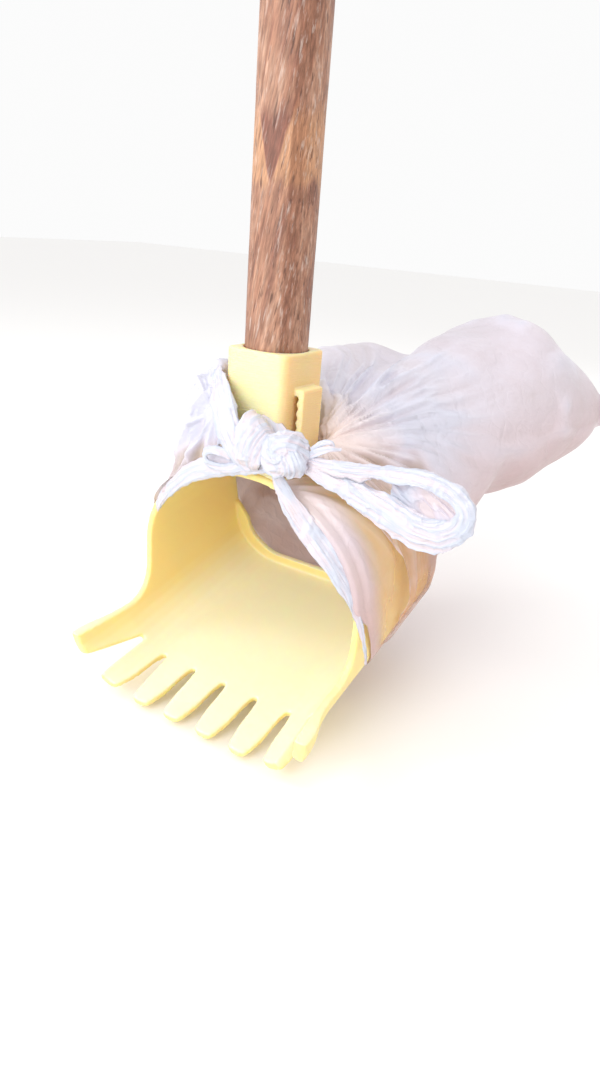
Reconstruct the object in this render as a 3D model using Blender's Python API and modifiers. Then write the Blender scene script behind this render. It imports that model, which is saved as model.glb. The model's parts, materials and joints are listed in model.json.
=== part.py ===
"""Long-handled garden scoop with a tied-on catch bag.

A printed plastic scoop with rake tines pushes onto a round wooden pole through a square socket.
A thin carrier bag is pulled over the back of the hood, and its handles are knotted in front of
the socket. Units are metres, +Z is up, and the origin is the middle of the pole's flat top end.
"""

import math

import bmesh
import bpy
from mathutils import Euler, Matrix, Vector

MM = 0.001

# Pole
POLE_RADIUS = 12.5 * MM
POLE_LENGTH = 600 * MM
POLE_EDGE = 1.5 * MM

# Square socket that the pole pushes into
SOCKET_WIDTH = 28.5 * MM
SOCKET_CORNER = 3.5 * MM
SOCKET_RIM_EDGE = 0.8 * MM
BORE_RADIUS = 12.8 * MM
BORE_DEPTH = 38.3 * MM
POLE_SEAT = 38 * MM
SOCKET_HEIGHT = 56 * MM

# Toothed bag hooks on both sides of the socket
HOOK_TOP = 13 * MM
HOOK_BOTTOM = 43 * MM
HOOK_BRIDGE = 2.6 * MM
HOOK_REACH = 4.5 * MM
HOOK_SLOT = 1.6 * MM
HOOK_DEPTH = 14 * MM
HOOK_FLARE = 3.2 * MM
TOOTH_PITCH = 3.7 * MM
TOOTH_HEIGHT = 0.45 * MM
TEETH = 5

# Scoop: its own frame has x across, y up from the floor and z forward, from the slots' roots
SCOOP_TILT = math.radians(13.4)
SCOOP_ORIGIN = Vector((0, -25.1 * MM, -143.5 * MM))
WALL = 3.2 * MM
HOOD_HALF_WIDTH = 57 * MM
HOOD_LENGTH = 88 * MM
CORNER_RADIUS = 26 * MM
CROWN_BASE = 45 * MM
CROWN_TOP = 90 * MM
RIM_SETBACK = -14.25 * MM
CHEEK_HEIGHT = 20.3 * MM
CHEEK_START = -3.9 * MM
CHEEK_RIM_HEIGHT = 35 * MM

# Tines and slots
TINE_LENGTH = 27.5 * MM
TINE_TAPER_START = 18 * MM
TINE_TIP_THINNING = 1.6 * MM
SIDE_TINE_FLARE = 3 * MM
SIDE_TINE_TIP_HEIGHT = 24 * MM
SLOT_PITCH = 17.3 * MM
SLOT_FAN = 0.3 * MM
SLOT_ROOT_RADIUS = 1.4 * MM
SLOT_TIP_HALF_WIDTH = 5.1 * MM
SLOT_CUT_DEPTH = 18 * MM
TIP_ROUNDING = 2.4 * MM
SIDE_SLOT_ANGLE = math.radians(43.6)
SIDE_SLOT_DRIFT = 5.1 * MM

# Raised sill along the lower back edge of the hood
SILL_HEIGHT = 6.7 * MM
SILL_THICKNESS = 3 * MM
SILL_FADE = 34 * MM

# Bag film, drawn much thicker than the real film so that it is a solid
GAP = 0.35 * MM
FILM = 0.9 * MM
BELLY_FILM = 1.2 * MM
COLLAR_SETBACK = -12.6 * MM
COLLAR_REAR = 87 * MM
COLLAR_UNDERSIDE_FRONT = 16 * MM
BELLY_START = 88.7 * MM

SOCKET_TOP = POLE_SEAT - POLE_LENGTH


def material(name, colour, roughness):
    """A Principled material of one colour."""
    finish = bpy.data.materials.new(name)
    finish.use_nodes = True
    shader = finish.node_tree.nodes["Principled BSDF"]
    shader.inputs["Base Color"].default_value = (*colour, 1)
    shader.inputs["Roughness"].default_value = roughness
    shader.inputs["Metallic"].default_value = 0
    return finish


def clear_scene():
    for thing in list(bpy.data.objects):
        bpy.data.objects.remove(thing, do_unlink=True)


def collection(name):
    group = bpy.data.collections.new(name)
    bpy.context.scene.collection.children.link(group)
    return group


def place(thing, group, parent=None, location=(0, 0, 0), rotation=(0, 0, 0)):
    """Link an object into a collection, under a parent, at a place in the parent's frame."""
    group.objects.link(thing)
    thing.parent = parent
    thing.location = location
    thing.rotation_euler = Euler(rotation)
    bpy.context.view_layer.update()
    return thing


def frame_empty(name, group, parent=None, location=(0, 0, 0), rotation=(0, 0, 0)):
    empty = bpy.data.objects.new(name, None)
    empty.empty_display_size = 0.02
    return place(empty, group, parent, location, rotation)


def as_cutter(thing):
    thing.hide_render = True
    thing.display_type = 'WIRE'
    return thing


def boolean(target, tool, operation):
    step = target.modifiers.new(tool.name, 'BOOLEAN')
    step.operation = operation
    step.object = tool
    step.solver = 'EXACT'


def mesh_from_curve(guide, group):
    """Turn a curve object into a welded mesh object in the same place, and remove the curve."""
    bpy.context.view_layer.update()
    depsgraph = bpy.context.evaluated_depsgraph_get()
    mesh = bpy.data.meshes.new_from_object(guide.evaluated_get(depsgraph))
    work = bmesh.new()
    work.from_mesh(mesh)
    bmesh.ops.remove_doubles(work, verts=work.verts, dist=0.001 * MM)
    bmesh.ops.recalc_face_normals(work, faces=work.faces)
    work.to_mesh(mesh)
    work.free()
    name = guide.name
    guide.name = name + "_guide"
    solid = bpy.data.objects.new(name, mesh)
    place(solid, group, guide.parent, guide.location, guide.rotation_euler)
    bpy.data.objects.remove(guide, do_unlink=True)
    return solid


def extrusion(name, outline, depth, group, parent, location=(0, 0, 0), rotation=(0, 0, 0)):
    """A flat outline in its own XY plane, thickened evenly to both sides along its Z."""
    flat = bpy.data.curves.new(name, 'CURVE')
    flat.dimensions = '2D'
    flat.fill_mode = 'BOTH'
    flat.extrude = depth / 2
    spline = flat.splines.new('POLY')
    spline.points.add(len(outline) - 1)
    for point, (x, y) in zip(spline.points, outline):
        point.co = (x, y, 0, 1)
    spline.use_cyclic_u = True
    guide = place(bpy.data.objects.new(name, flat), group, parent, location, rotation)
    return mesh_from_curve(guide, group)


def strand(name, points, radii, group, parent):
    """A gathered rope of film: a smooth tube through points, with its own radius at each."""
    line = bpy.data.curves.new(name, 'CURVE')
    line.dimensions = '3D'
    line.bevel_depth = 1
    line.bevel_resolution = 2
    line.resolution_u = 4
    line.use_fill_caps = True
    spline = line.splines.new('BEZIER')
    spline.bezier_points.add(len(points) - 1)
    for knob, point, radius in zip(spline.bezier_points, points, radii):
        knob.co = Vector(point) * MM
        knob.radius = radius * MM
        knob.handle_left_type = 'AUTO'
        knob.handle_right_type = 'AUTO'
    guide = place(bpy.data.objects.new(name, line), group, parent)
    return mesh_from_curve(guide, group)


def loft(name, rings, group, parent, closed_loop=False, cap_end=False):
    """A skin of quads from ring to ring. A closed loop joins the last ring to the first."""
    work = bmesh.new()
    rows = [[work.verts.new(point) for point in ring] for ring in rings]
    pairs = list(zip(rows, rows[1:]))
    if closed_loop:
        pairs.append((rows[-1], rows[0]))
    for near, far in pairs:
        count = len(near)
        for i in range(count):
            j = (i + 1) % count
            work.faces.new((near[i], near[j], far[j], far[i]))
    if cap_end:
        work.faces.new(rows[-1])
    bmesh.ops.recalc_face_normals(work, faces=work.faces)
    mesh = bpy.data.meshes.new(name)
    work.to_mesh(mesh)
    work.free()
    return place(bpy.data.objects.new(name, mesh), group, parent)


def arc(cx, cy, radius, start_deg, end_deg, steps, squash=1.0):
    """Points along a circular arc, or an elliptical one where its height is squashed."""
    points = []
    for i in range(steps + 1):
        angle = math.radians(start_deg + (end_deg - start_deg) * i / steps)
        points.append((cx + radius * math.cos(angle), cy + radius * squash * math.sin(angle)))
    return points


def bend(start, corner, end, steps):
    """Points along a soft bend that leaves and arrives along the lines through the corner."""
    points = []
    for i in range(steps + 1):
        t = i / steps
        weights = ((1 - t) ** 2, 2 * t * (1 - t), t ** 2)
        x, y = (sum(w * p[k] for w, p in zip(weights, (start, corner, end))) for k in (0, 1))
        points.append((x, y))
    return points


def hood_section(grow, crown_steps=24, corner_steps=8):
    """Closed outline across the hood: flat floor, round corners, straight sides, oval crown."""
    half = HOOD_HALF_WIDTH + grow
    radius = CORNER_RADIUS + grow
    floor = -WALL - grow
    rise = CROWN_TOP - CROWN_BASE + grow
    outline = arc(half - radius, floor + radius, radius, -90, 0, corner_steps)
    outline += arc(0, CROWN_BASE, half, 0, 180, crown_steps, rise / half)
    outline += arc(radius - half, floor + radius, radius, 180, 270, corner_steps)
    return outline


def rim_line(height, setback):
    """Where an upright plane across the tool meets a height above the scoop's floor."""
    reach = setback - SCOOP_ORIGIN.y + height * math.sin(SCOOP_TILT)
    return (-reach / math.cos(SCOOP_TILT), height)


def hood_ring(grow, forward, flare=0.0):
    """The hood section at one place along the scoop, with its cheeks flared outwards."""
    straight = HOOD_HALF_WIDTH - CORNER_RADIUS
    ring = []
    for x, y in hood_section(grow):
        side = max(0.0, abs(x) - straight) / CORNER_RADIUS
        ring.append((x + math.copysign(flare * side, x), y, forward))
    return ring


def add_pole(parts):
    bpy.ops.mesh.primitive_cylinder_add(
        vertices=64, radius=POLE_RADIUS, depth=POLE_LENGTH, location=(0, 0, -POLE_LENGTH / 2))
    pole = bpy.context.object
    pole.name = pole.data.name = "pole"
    for owner in list(pole.users_collection):
        owner.objects.unlink(pole)
    parts.objects.link(pole)
    edge = pole.modifiers.new("end_edges", 'BEVEL')
    edge.width = POLE_EDGE
    edge.segments = 2
    edge.angle_limit = math.radians(60)
    return pole


def hook_outline(side):
    """Side plate of a bag hook, open below: bridge, toothed inner edge and flared foot."""
    wall = SOCKET_WIDTH / 2
    outer = wall + HOOK_REACH
    inner = wall + HOOK_SLOT
    foot = -HOOK_BOTTOM
    knee = foot + 2.2 * HOOK_FLARE
    outline = [(wall - 1 * MM, -HOOK_TOP), (outer - 1 * MM, -HOOK_TOP)]
    outline += arc(outer - 1 * MM, -HOOK_TOP - 1 * MM, 1 * MM, 60, 0, 2)
    outline += bend((outer, knee), (outer, foot + 3 * MM), (outer + HOOK_FLARE, foot + 1 * MM), 4)
    outline += arc(outer + HOOK_FLARE - 1.2 * MM, foot + 1 * MM, 1 * MM, -30, -110, 3)
    outline += bend((outer - 0.4 * MM, foot + 2 * MM), (inner, knee - 1 * MM), (inner, knee), 4)
    steps_per_tooth = 4
    for i in range(TEETH * steps_per_tooth + 1):
        rise = i / steps_per_tooth
        bump = TOOTH_HEIGHT * math.cos(2 * math.pi * rise)
        outline.append((inner + bump, knee + 0.6 * MM + rise * TOOTH_PITCH))
    outline += [(inner, -HOOK_TOP - HOOK_BRIDGE), (wall - 1 * MM, -HOOK_TOP - HOOK_BRIDGE)]
    return [(side * x, z) for x, z in outline]


def socket_block(parts, head):
    """A square post with round upright corners and a softened top edge."""
    work = bmesh.new()
    bmesh.ops.create_cube(work, size=1)
    bmesh.ops.scale(work, vec=(SOCKET_WIDTH, SOCKET_WIDTH, SOCKET_HEIGHT), verts=work.verts)
    bmesh.ops.translate(work, vec=(0, 0, -SOCKET_HEIGHT / 2), verts=work.verts)
    upright = [e for e in work.edges if abs(e.verts[0].co.z - e.verts[1].co.z) > SOCKET_HEIGHT / 2]
    bmesh.ops.bevel(work, geom=upright, offset=SOCKET_CORNER, segments=6, profile=0.5,
                    affect='EDGES', clamp_overlap=False)
    top = [e for e in work.edges if all(v.co.z > -0.01 * MM for v in e.verts)]
    bmesh.ops.bevel(work, geom=top, offset=SOCKET_RIM_EDGE, segments=2, profile=0.5,
                    affect='EDGES', clamp_overlap=False)
    mesh = bpy.data.meshes.new("pole_socket")
    work.to_mesh(mesh)
    work.free()
    return place(bpy.data.objects.new("pole_socket", mesh), parts, head)


def cylinder_cutter(name, radius, depth, middle, cutters, parent):
    work = bmesh.new()
    bmesh.ops.create_cone(work, cap_ends=True, segments=64, radius1=radius, radius2=radius,
                          depth=depth)
    mesh = bpy.data.meshes.new(name)
    work.to_mesh(mesh)
    work.free()
    return as_cutter(place(bpy.data.objects.new(name, mesh), cutters, parent, (0, 0, middle)))


def add_pole_socket(parts, cutters, head, scoop_frame):
    block = socket_block(parts, head)
    for side, label in ((-1, "left"), (1, "right")):
        hook = extrusion("hook_" + label, hook_outline(side), HOOK_DEPTH, cutters, head,
                         rotation=(math.radians(90), 0, 0))
        boolean(block, as_cutter(hook), 'UNION')
    overlap = 4 * MM
    bore = cylinder_cutter("bore", BORE_RADIUS, BORE_DEPTH + overlap,
                           (overlap - BORE_DEPTH) / 2, cutters, head)
    boolean(block, bore, 'DIFFERENCE')
    crown = extrusion("crown_seat", hood_section(GAP), 2 * HOOD_LENGTH, cutters, scoop_frame,
                      location=(0, 0, -HOOD_LENGTH))
    boolean(block, as_cutter(crown), 'DIFFERENCE')
    return block


def hood_body(parts, scoop_frame):
    """The ring-shaped hood wall, drawn out forward to the tips of the tines."""
    stations = ((-HOOD_LENGTH, 0, 0), (0, 0, 0), (TINE_TAPER_START, 0, 0.6), (TINE_LENGTH, 1, 1))
    outer = [hood_ring(-thin * TINE_TIP_THINNING, z, flare * SIDE_TINE_FLARE)
             for z, thin, flare in stations]
    inner = [hood_ring(-WALL, z, flare * SIDE_TINE_FLARE) for z, thin, flare in stations]
    return loft("scoop", outer + inner[::-1], parts, scoop_frame, closed_loop=True)


def sill_outline():
    """A crescent that follows the floor and corners, and fades out up the sides."""
    centre_x = HOOD_HALF_WIDTH - CORNER_RADIUS
    centre_y = CORNER_RADIUS - WALL
    buried = CORNER_RADIUS - WALL + 1 * MM
    raised = CORNER_RADIUS - WALL - SILL_HEIGHT
    middle = (SILL_FADE + centre_y) / 2
    outline = arc(-centre_x, centre_y, buried, 180, 270, 8)
    outline += arc(centre_x, centre_y, buried, 270, 360, 8)
    outline += [(centre_x + buried, SILL_FADE), (centre_x + raised + 0.55 * SILL_HEIGHT, middle)]
    outline += arc(centre_x, centre_y, raised, 360, 270, 8)
    outline += arc(-centre_x, centre_y, raised, 270, 180, 8)
    outline += [(-centre_x - raised - 0.55 * SILL_HEIGHT, middle), (-centre_x - buried, SILL_FADE)]
    return outline


def front_cut_outline():
    """Side view of what is cut away in front of the hood's rim and above the side tines."""
    rim_low = rim_line(CHEEK_RIM_HEIGHT, RIM_SETBACK)
    tine_root = (CHEEK_START, CHEEK_HEIGHT)
    corner = rim_line(CHEEK_HEIGHT, RIM_SETBACK)
    beyond = TINE_LENGTH + 10 * MM
    above = CROWN_TOP + 20 * MM
    outline = bend(rim_low, corner, tine_root, 8)
    outline += [(TINE_LENGTH, SIDE_TINE_TIP_HEIGHT), (beyond, SIDE_TINE_TIP_HEIGHT)]
    outline += [(beyond, above), rim_line(above, RIM_SETBACK)]
    return outline


def slot_outline(drift):
    """Plan of the gap between two tines: round root, widening sides, rounded tine tips."""
    def side(sign):
        shoulder = TINE_LENGTH - TIP_ROUNDING
        wide = SLOT_TIP_HALF_WIDTH
        tip = arc(wide + TIP_ROUNDING, shoulder, TIP_ROUNDING, 180, 90, 4)
        tip.append((wide + TIP_ROUNDING, TINE_LENGTH + 6 * MM))
        return [(drift * y / TINE_LENGTH + sign * x, y) for x, y in tip]
    root = arc(0, SLOT_ROOT_RADIUS, SLOT_ROOT_RADIUS, 180, 360, 8)
    return root + side(1) + side(-1)[::-1]


def add_scoop(parts, cutters, scoop_frame):
    scoop = hood_body(parts, scoop_frame)
    sill = extrusion("sill", sill_outline(), SILL_THICKNESS, cutters, scoop_frame,
                     location=(0, 0, SILL_THICKNESS / 2 - HOOD_LENGTH))
    boolean(scoop, as_cutter(sill), 'UNION')
    front = extrusion("front_cut", front_cut_outline(), 4 * HOOD_HALF_WIDTH, cutters,
                      scoop_frame, rotation=(0, math.radians(-90), 0))
    boolean(scoop, as_cutter(front), 'DIFFERENCE')
    lie_flat = math.radians(90)
    for k in range(-2, 3):
        slot = extrusion(f"slot_{k + 3}", slot_outline(k * SLOT_FAN), SLOT_CUT_DEPTH, cutters,
                         scoop_frame, location=(k * SLOT_PITCH, 0, 0), rotation=(lie_flat, 0, 0))
        boolean(scoop, as_cutter(slot), 'DIFFERENCE')
    inner_radius = CORNER_RADIUS - WALL
    for side, label in ((-1, "left"), (1, "right")):
        x = HOOD_HALF_WIDTH - CORNER_RADIUS + inner_radius * math.sin(SIDE_SLOT_ANGLE)
        y = inner_radius * (1 - math.cos(SIDE_SLOT_ANGLE))
        slot = extrusion("side_slot_" + label, slot_outline(side * SIDE_SLOT_DRIFT),
                         SLOT_CUT_DEPTH, cutters, scoop_frame, location=(side * x, y, 0),
                         rotation=(lie_flat, 0, side * SIDE_SLOT_ANGLE))
        boolean(scoop, as_cutter(slot), 'DIFFERENCE')
    return scoop


def add_bag_collar(parts, cutters, head, scoop_frame):
    """Film stretched round the outside of the hood, open at the front, the back and the socket."""
    stations = (-COLLAR_REAR, COLLAR_UNDERSIDE_FRONT)
    outer = [hood_ring(GAP + FILM, z) for z in stations]
    inner = [hood_ring(GAP, z) for z in stations]
    collar = loft("bag_collar", outer + inner[::-1], parts, scoop_frame, closed_loop=True)
    hem_bottom = (-34 * MM, -WALL - 10 * MM)
    hem_corner = (-8 * MM, 25 * MM)
    above = CROWN_TOP + 20 * MM
    beyond = TINE_LENGTH + 20 * MM
    outline = [hem_bottom, hem_corner]
    outline += bend(hem_corner, rim_line(30 * MM, COLLAR_SETBACK),
                    rim_line(45 * MM, COLLAR_SETBACK), 6)[1:]
    outline += [rim_line(above, COLLAR_SETBACK), (beyond, above), (beyond, hem_bottom[1])]
    front = extrusion("collar_cut", outline, 4 * HOOD_HALF_WIDTH, cutters, scoop_frame,
                      rotation=(0, math.radians(-90), 0))
    boolean(collar, as_cutter(front), 'DIFFERENCE')
    side = SOCKET_WIDTH / 2 + 1 * MM
    forward = -60 * MM
    window = extrusion("socket_window", [(-side, forward), (side, forward), (side, side),
                                         (-side, side)],
                       60 * MM, cutters, head, location=(0, 0, -50 * MM))
    boolean(collar, as_cutter(window), 'DIFFERENCE')
    return collar


# Rings of the belly behind the hood, in millimetres from the socket's top:
# middle x, y, z, half width, half height, lean forward and turn towards +X in degrees
BELLY_RINGS = (
    (1, 55, -72, 59, 59, 24, 0),
    (4, 71, -64, 61, 61, 12, 4),
    (13, 95, -57, 58, 56, 2, 12),
    (27, 120, -49, 52, 46, -4, 22),
    (43, 145, -38, 48, 46, -6, 32),
    (59, 165, -33, 43, 42, -6, 38),
    (75, 181, -32, 32, 31, -6, 42),
    (87, 191, -34, 19, 18, -6, 44),
    (93, 196, -36, 8, 8, -6, 44),
)


def belly_ring(angles, middle_x, middle_y, middle_z, half_width, half_height, lean, turn):
    """An oval ring of film that leans forward at its top and is turned about the vertical."""
    spin = Matrix.Rotation(-math.radians(turn), 3, 'Z') @ Matrix.Rotation(math.radians(lean), 3, 'X')
    middle = Vector((middle_x, middle_y, middle_z)) * MM
    ring = []
    for angle in angles:
        flat = Vector((half_width * math.cos(angle), 0, half_height * math.sin(angle))) * MM
        ring.append(middle + spin @ flat)
    return ring


def add_bag_belly(parts, bag, head, scoop_frame):
    """The part of the bag that hangs behind the hood and catches what is scooped."""
    to_head = head.matrix_world.inverted() @ scoop_frame.matrix_world
    section = hood_ring(GAP + BELLY_FILM, -BELLY_START)
    angles = [math.atan2(y - CROWN_BASE, x) for x, y, z in section]
    rings = [[to_head @ Vector(point) for point in section]]
    rings += [belly_ring(angles, *row) for row in BELLY_RINGS]
    to_bag = bag.matrix_world.inverted() @ head.matrix_world
    rings = [[to_bag @ point for point in ring] for ring in rings]
    belly = loft("bag_belly", rings, parts, bag, cap_end=True)
    film = belly.modifiers.new("film", 'SOLIDIFY')
    film.thickness = BELLY_FILM
    film.offset = -1
    film.use_even_offset = False
    return belly


def add_wing(name, points, thickness, parts, head):
    """A gathered sail of film: a grid of points, top row first, thickened to both sides."""
    work = bmesh.new()
    rows = [[work.verts.new(Vector(point) * MM) for point in row] for row in points]
    for upper, lower in zip(rows, rows[1:]):
        for i in range(len(upper) - 1):
            work.faces.new((upper[i], upper[i + 1], lower[i + 1], lower[i]))
    mesh = bpy.data.meshes.new(name)
    work.to_mesh(mesh)
    work.free()
    wing = place(bpy.data.objects.new(name, mesh), parts, head)
    film = wing.modifiers.new("film", 'SOLIDIFY')
    film.thickness = thickness
    film.offset = 0
    soft = wing.modifiers.new("soft", 'SUBSURF')
    soft.levels = 1
    soft.render_levels = 1
    return wing


def add_knot(name, centre, radii, parts, head):
    """A pulled-tight lump of film, from a rounded cage."""
    work = bmesh.new()
    bmesh.ops.create_icosphere(work, subdivisions=2, radius=1)
    for vert in work.verts:
        lump = 1 + 0.06 * math.sin(5 * vert.co.x + 3 * vert.co.z) * math.cos(4 * vert.co.y)
        vert.co = Vector([c * r * lump * MM for c, r in zip(vert.co, radii)])
    mesh = bpy.data.meshes.new(name)
    work.to_mesh(mesh)
    work.free()
    return place(bpy.data.objects.new(name, mesh), parts, head, Vector(centre) * MM)


def finish(thing, look, flat_limit=35):
    thing.data.materials.clear()
    thing.data.materials.append(look)
    thing.data.shade_smooth()
    thing.data.set_sharp_from_angle(angle=math.radians(flat_limit))


def main():
    clear_scene()
    parts = collection("bag_scoop")
    cutters = collection("cutters")
    cutters.hide_render = True

    wood = material("pole_wood", (0.32, 0.17, 0.11), 0.55)
    plastic = material("printed_plastic", (0.90, 0.82, 0.50), 0.45)
    film = material("bag_film", (0.86, 0.84, 0.90), 0.35)
    knotted = material("knotted_film", (0.95, 0.95, 0.97), 0.4)

    head = frame_empty("head_frame", parts, location=(0, 0, SOCKET_TOP))
    scoop_frame = frame_empty("scoop_frame", parts, head, SCOOP_ORIGIN,
                              (math.radians(90) + SCOOP_TILT, 0, 0))
    hinge = scoop_frame.matrix_world @ Vector((0, -WALL - GAP - BELLY_FILM, -BELLY_START))
    bag = frame_empty("bag_frame", parts, location=hinge)

    finish(add_pole(parts), wood)
    finish(add_pole_socket(parts, cutters, head, scoop_frame), plastic)
    finish(add_scoop(parts, cutters, scoop_frame), plastic)
    finish(add_bag_collar(parts, cutters, head, scoop_frame), film)
    finish(add_bag_belly(parts, bag, head, scoop_frame), film, 80)

    left_wing = (
        ((-36, 1, -12), (-30, 1, -13), (-24, 0, -16)),
        ((-45, 1, -26), (-34, -2, -25), (-24, -6, -25)),
        ((-48, 1, -42), (-36, -5, -39), (-24.5, -12, -35)),
        ((-48.5, 2, -60), (-37, -5, -52.5), (-26, -12, -46)),
    )
    finish(add_wing("bag_left_wing", left_wing, 1.2 * MM, parts, head), film, 80)
    right_wing = (
        ((25, 2, -28), (27, 14, -18), (29, 26, -13)),
        ((26, 2, -33), (34, 14, -28), (38, 27, -26)),
        ((26.5, 2, -38), (37, 14, -41), (46, 28, -45)),
    )
    finish(add_wing("bag_right_wing", right_wing, 1.2 * MM, parts, head), film, 80)

    left_handle = ((-47, -16.4, -73), (-36, -17.5, -62), (-24, -19, -52), (-10, -20.5, -45.5))
    finish(strand("bag_left_handle", left_handle, (1.2, 2.2, 2.8, 3.2), parts, head), film)
    right_handle = ((21, -20, -49.5), (30, -18.5, -57), (41, -17.5, -68), (50, -16.4, -80))
    finish(strand("bag_right_handle", right_handle, (3.2, 2.8, 2.2, 1.2), parts, head), film)
    half_knot = ((-15, -20, -20), (-9, -21, -25), (-1, -21.6, -30.5), (6, -21.2, -35.5))
    finish(strand("bag_half_knot", half_knot, (3.6, 5.8, 6.3, 5.2), parts, head), knotted)
    short_loop = ((-6.5, -25, -38.5), (-9.5, -25, -36.5), (-13.2, -25, -39.5), (-10, -25.4, -43.5),
                  (-5.5, -26, -43.5))
    finish(strand("bag_short_loop", short_loop, (1.2, 1.4, 1.4, 1.1, 1.0), parts, head), knotted)
    finish(add_knot("bag_knot", (23, -23, -35), (11.0, 8.0, 10.4), parts, head), knotted)
    bow_loop = ((36.2, -21, -31), (47, -21, -30.5), (62, -21, -28.5), (80, -21, -30), (92, -21, -34),
                (94, -21, -41), (86, -21, -50), (74, -21, -49.5), (60, -21, -44.5),
                (46, -21, -40.5), (35.8, -21, -38.5))
    bow_radii = (2.2, 2.8, 3.2, 4.0, 4.4, 4.2, 4.4, 4.2, 3.6, 2.8, 2.2)
    finish(strand("bag_bow_loop", bow_loop, bow_radii, parts, head), knotted)


main()
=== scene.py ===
"""Looks of a pole-mounted scoop rake with a thin carrier bag knotted on behind.

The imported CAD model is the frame: the pole, the printed socket and the scoop keep its shapes,
with softened edges and real surfaces, and the bag's plain solids give way to wrinkled film.
Lengths inside the shape functions are millimetres from the middle of the socket's top face.
"""

import json
import math

import bmesh
import bpy
import numpy as np
from mathutils import Matrix, Vector, noise


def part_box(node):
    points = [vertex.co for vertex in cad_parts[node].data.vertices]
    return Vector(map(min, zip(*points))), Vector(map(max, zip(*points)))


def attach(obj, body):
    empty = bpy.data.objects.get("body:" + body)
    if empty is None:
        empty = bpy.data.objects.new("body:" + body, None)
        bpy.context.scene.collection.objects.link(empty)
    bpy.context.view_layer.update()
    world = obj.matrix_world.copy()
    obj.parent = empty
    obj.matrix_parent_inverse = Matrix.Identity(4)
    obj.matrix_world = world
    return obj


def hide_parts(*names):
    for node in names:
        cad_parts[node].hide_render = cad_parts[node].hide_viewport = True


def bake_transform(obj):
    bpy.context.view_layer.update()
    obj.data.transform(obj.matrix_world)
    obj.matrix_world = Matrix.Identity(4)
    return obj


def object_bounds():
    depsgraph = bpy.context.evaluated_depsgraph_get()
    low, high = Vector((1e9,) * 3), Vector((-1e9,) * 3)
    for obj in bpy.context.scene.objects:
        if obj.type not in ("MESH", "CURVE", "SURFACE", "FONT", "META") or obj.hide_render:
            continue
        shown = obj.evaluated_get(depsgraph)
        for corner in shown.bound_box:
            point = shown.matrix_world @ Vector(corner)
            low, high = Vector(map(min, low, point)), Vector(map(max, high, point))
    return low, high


MM = 0.001

# Camera: where the photographer stood, from the middle of the socket's top face
CAMERA_PLACE = (161.8, -240.0, 44.4)
CAMERA_AZIMUTH = 30.97
CAMERA_ELEVATION = 22.97
CAMERA_ROLL = 4.69
CAMERA_LENS = 24.36
CAMERA_SENSOR = 36

# Studio: pale all round, and a little warmer and dimmer on the tool's right
WARM_SIDE = (0.95, -0.1, -0.3)
WARM_TINT = ((0.1, (1.0, 1.0, 1.0)), (1.0, (0.92, 0.80, 0.68)))
WORLD_STRENGTH = 0.97
FLOOR_SIZE = 4
FLOOR_DROP = 0.004
FLOOR_COLOUR = (0.95, 0.95, 0.95, 1)
FLOOR_ROUGHNESS = 0.9
# Soft lights, which all face one spot: name, place, width in metres, watts and colour
LIGHT_TARGET = (0, 0, -80)
LIGHTS = (
    ("key", (-760, -380, 560), 0.35, 2.1, (1.0, 0.985, 0.96)),
    ("front", (-40, -800, 360), 0.6, 4.2, (1.0, 0.985, 0.96)),
    ("rim", (200, 800, 500), 0.8, 1.0, (0.95, 0.96, 1.0)),
)

# Printed parts: voxel size in millimetres and rounds of smoothing, which soften the edges
SCOOP_VOXEL = 0.55
SCOOP_SOFTENING = 16
SOCKET_VOXEL = 0.4
SOCKET_SOFTENING = 6

# Their plastic: pale colour and the amber of painted shade, then the layer lines' pitch in
# millimetres and strength
SCOOP_PALE, SCOOP_SHADE_AMBER = (0.98, 0.92, 0.69), (0.99, 0.79, 0.33)
SCOOP_LAYERS = (0.3, 0.05)
SOCKET_PALE, SOCKET_SHADE_AMBER = (0.96, 0.83, 0.48), (0.86, 0.54, 0.23)
SOCKET_LAYERS = (0.45, 0.8)
LAYER_COLOUR = (0.88, 0.72, 0.40)
LAYER_SHARE = 0.06
# Share of the amber painted shade on the scoop by height, where 1 is 50 mm, by distance behind
# its origin, where 1 is 100 mm, and by how level its surface is; then on the socket's sides
SHADE_AMBER_UP_WALL = ((0.07, 0.0), (0.22, 0.5), (0.6, 1.0))
SHADE_AMBER_DEEP = ((0.1, 0.35), (0.42, 1.0))
SHADE_AMBER_DEEP_AHEAD = 0.3
SHADE_AMBER_ON_EDGE = ((0.2, 0.95), (0.88, 0.04))
SHADE_AMBER_SOCKET_SIDE = 0.75

# Tines: how much they swell and widen, in millimetres, and the two measures between which each
# change grows or fades: ahead of the scoop's origin, from its middle, and how far a surface
# faces outward or sideways
TINE_SWELL = 2.2
SIDE_TINE_SWELL = 3.0
SIDE_TINE_ACROSS = (44, 54)
SWELL_AHEAD = (6, 25)
SWELL_FACING = (-0.1, 0.6)
TINE_WIDENING = 1.2
WIDENING_AHEAD = (3, 18)
WIDENING_ACROSS = (42, 46)
WIDENING_FACING = (0.3, 0.8)
# Sill: the share it loses of its height over the floor, and where, in the same way
SILL_SINK = 0.55
SILL_BEHIND = (66, 74)
SILL_ACROSS = (30, 40)
SILL_ABOVE = (8, 12)

# Pole: its mesh, and its grain and rounded ends in millimetres
POLE_SIDES = 120
POLE_ROWS = 400
POLE_GRAIN_DEPTH = 0.12
POLE_GRAIN_TURN = 14
POLE_GRAIN_STRETCH = 0.04
POLE_END_EDGE = 1.5
POLE_EDGE_STEPS = 4
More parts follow.
